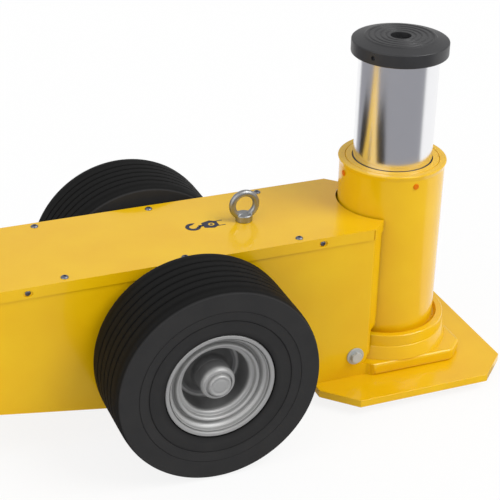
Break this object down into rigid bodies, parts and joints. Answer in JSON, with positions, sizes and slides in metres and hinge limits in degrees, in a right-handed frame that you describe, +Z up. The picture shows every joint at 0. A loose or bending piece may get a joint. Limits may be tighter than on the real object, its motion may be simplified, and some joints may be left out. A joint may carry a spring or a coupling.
{
  "type": "air hydraulic jack",
  "caption": "Wheeled air hydraulic jack: a heavy cylinder with a raised ram and grooved saddle on a foot plate, a sheet housing with lifting eye, pneumatic wheels and a tilting drawbar.",
  "frame": {"origin": "on the cylinder's axis at the underside of the base plate", "axes": "+Z up along the ram, +X from the housing towards the cylinder end, +Y to the left of a person who stands behind the drawbar and looks along +X"},
  "size_m": [1.7145, 0.6334, 0.8999],
  "materials": {
    "yellow_paint": "gloss",
    "bare_steel": "satin",
    "zinc_steel": "satin",
    "black_rubber": "matte",
    "dark_iron": "satin",
    "cast_aluminium": "satin",
    "black_plastic": "matte",
    "chrome": "polished",
    "orange_plastic": "gloss",
    "spring_steel": "satin",
    "tank_paint": "satin",
    "brass": "satin",
    "bronze_plastic": "matte",
    "bronze": "satin",
    "tyre": "matte",
    "rim_silver": "satin"
  },
  "bodies": {
    "chassis": {"base_plate": "yellow_paint", "base_block": "yellow_paint", "foot_collar": "yellow_paint", "cylinder_tube": "yellow_paint", "gland_nut": "yellow_paint", "rod_seal": "black_rubber", "wiper_ring": "black_rubber", "gland_lock_screws": "bare_steel", "lock_screw_plugs": "orange_plastic", "side_plate_right": "yellow_paint", "side_plate_left": "yellow_paint", "top_cover": "yellow_paint", "rear_panel": "yellow_paint", "floor_pan": "yellow_paint", "chassis_lugs": "yellow_paint", "chassis_bolts": "zinc_steel", "cover_screws": "zinc_steel", "lifting_bridge": "yellow_paint", "lifting_eye": "zinc_steel", "eye_nut": "zinc_steel", "axle_guides": "bare_steel", "axle_springs": "spring_steel", "reservoir": "tank_paint", "filler_plug": "zinc_steel", "suction_pipe": "bare_steel", "pressure_pipe": "bare_steel", "port_elbow": "zinc_steel", "pump_block": "dark_iron", "pump_rails": "dark_iron", "air_motor": "cast_aluminium", "air_pipe": "bare_steel", "air_valve": "cast_aluminium", "inlet_nipple": "brass", "hitch_bracket": "yellow_paint", "hitch_pin": "zinc_steel", "lever_pin": "zinc_steel"},
    "ram_body": {"ram": "chrome", "piston": "bare_steel", "piston_seal": "black_rubber", "wear_ring": "bronze_plastic", "saddle": "dark_iron", "saddle_screw": "bare_steel"},
    "axle_body": {"axle": "bare_steel", "axle_blocks": "bronze", "axle_nuts": "zinc_steel"},
    "wheel_right": {"tyre_right": "tyre", "rim_right": "rim_silver", "bearings_right": "bare_steel", "hub_cap_right": "rim_silver"},
    "wheel_left": {"tyre_left": "tyre", "rim_left": "rim_silver", "bearings_left": "bare_steel", "hub_cap_left": "rim_silver"},
    "drawbar_body": {"drawbar": "yellow_paint", "handle_grips": "black_rubber"},
    "lever_body": {"raise_lever": "black_plastic"},
    "plunger_body": {"valve_plunger": "bare_steel"},
    "release_body": {"release_spindle": "bare_steel", "release_knob": "black_plastic"}
  },
  "joints": [
    {"name": "ram_lift", "type": "slide", "parent": "chassis", "child": "ram_body", "axis": [0, 0, 1], "range_m": [-0.22, 0.05]},
    {"name": "axle_float", "type": "slide", "parent": "chassis", "child": "axle_body", "axis": [0, 0, 1], "range_m": [0, 0.02], "stiffness_N_per_m": 70000, "springref_m": -0.03, "deforming": ["axle_springs"]},
    {"name": "wheel_right_spin", "type": "hinge", "parent": "axle_body", "child": "wheel_right", "pos_m": [-0.4962, -0.2328, 0.1849], "axis": [0, 1, 0], "continuous": true},
    {"name": "wheel_left_spin", "type": "hinge", "parent": "axle_body", "child": "wheel_left", "pos_m": [-0.4962, 0.2328, 0.1849], "axis": [0, 1, 0], "continuous": true},
    {"name": "drawbar_pivot", "type": "hinge", "parent": "chassis", "child": "drawbar_body", "pos_m": [-0.975, 0, 0.138], "axis": [0, 1, 0], "range_deg": [0, 35]},
    {"name": "raise_lever_press", "type": "hinge", "parent": "chassis", "child": "lever_body", "pos_m": [-0.946, 0.088, 0.305], "axis": [0, -1, 0], "range_deg": [0, 10], "stiffness_Nm_per_rad": 4, "springref_deg": -5.73},
    {"name": "valve_plunger_push", "type": "slide", "parent": "chassis", "child": "plunger_body", "axis": [1, 0, 0], "range_m": [0, 0.0053]},
    {"name": "release_turn", "type": "hinge", "parent": "chassis", "child": "release_body", "pos_m": [-0.95, -0.075, 0.192], "axis": [1, 0, 0], "range_deg": [0, 180]}
  ],
  "couplings": [
    {"joint": "valve_plunger_push", "follows": "raise_lever_press", "m_per_rad": 0.03}
  ]
}
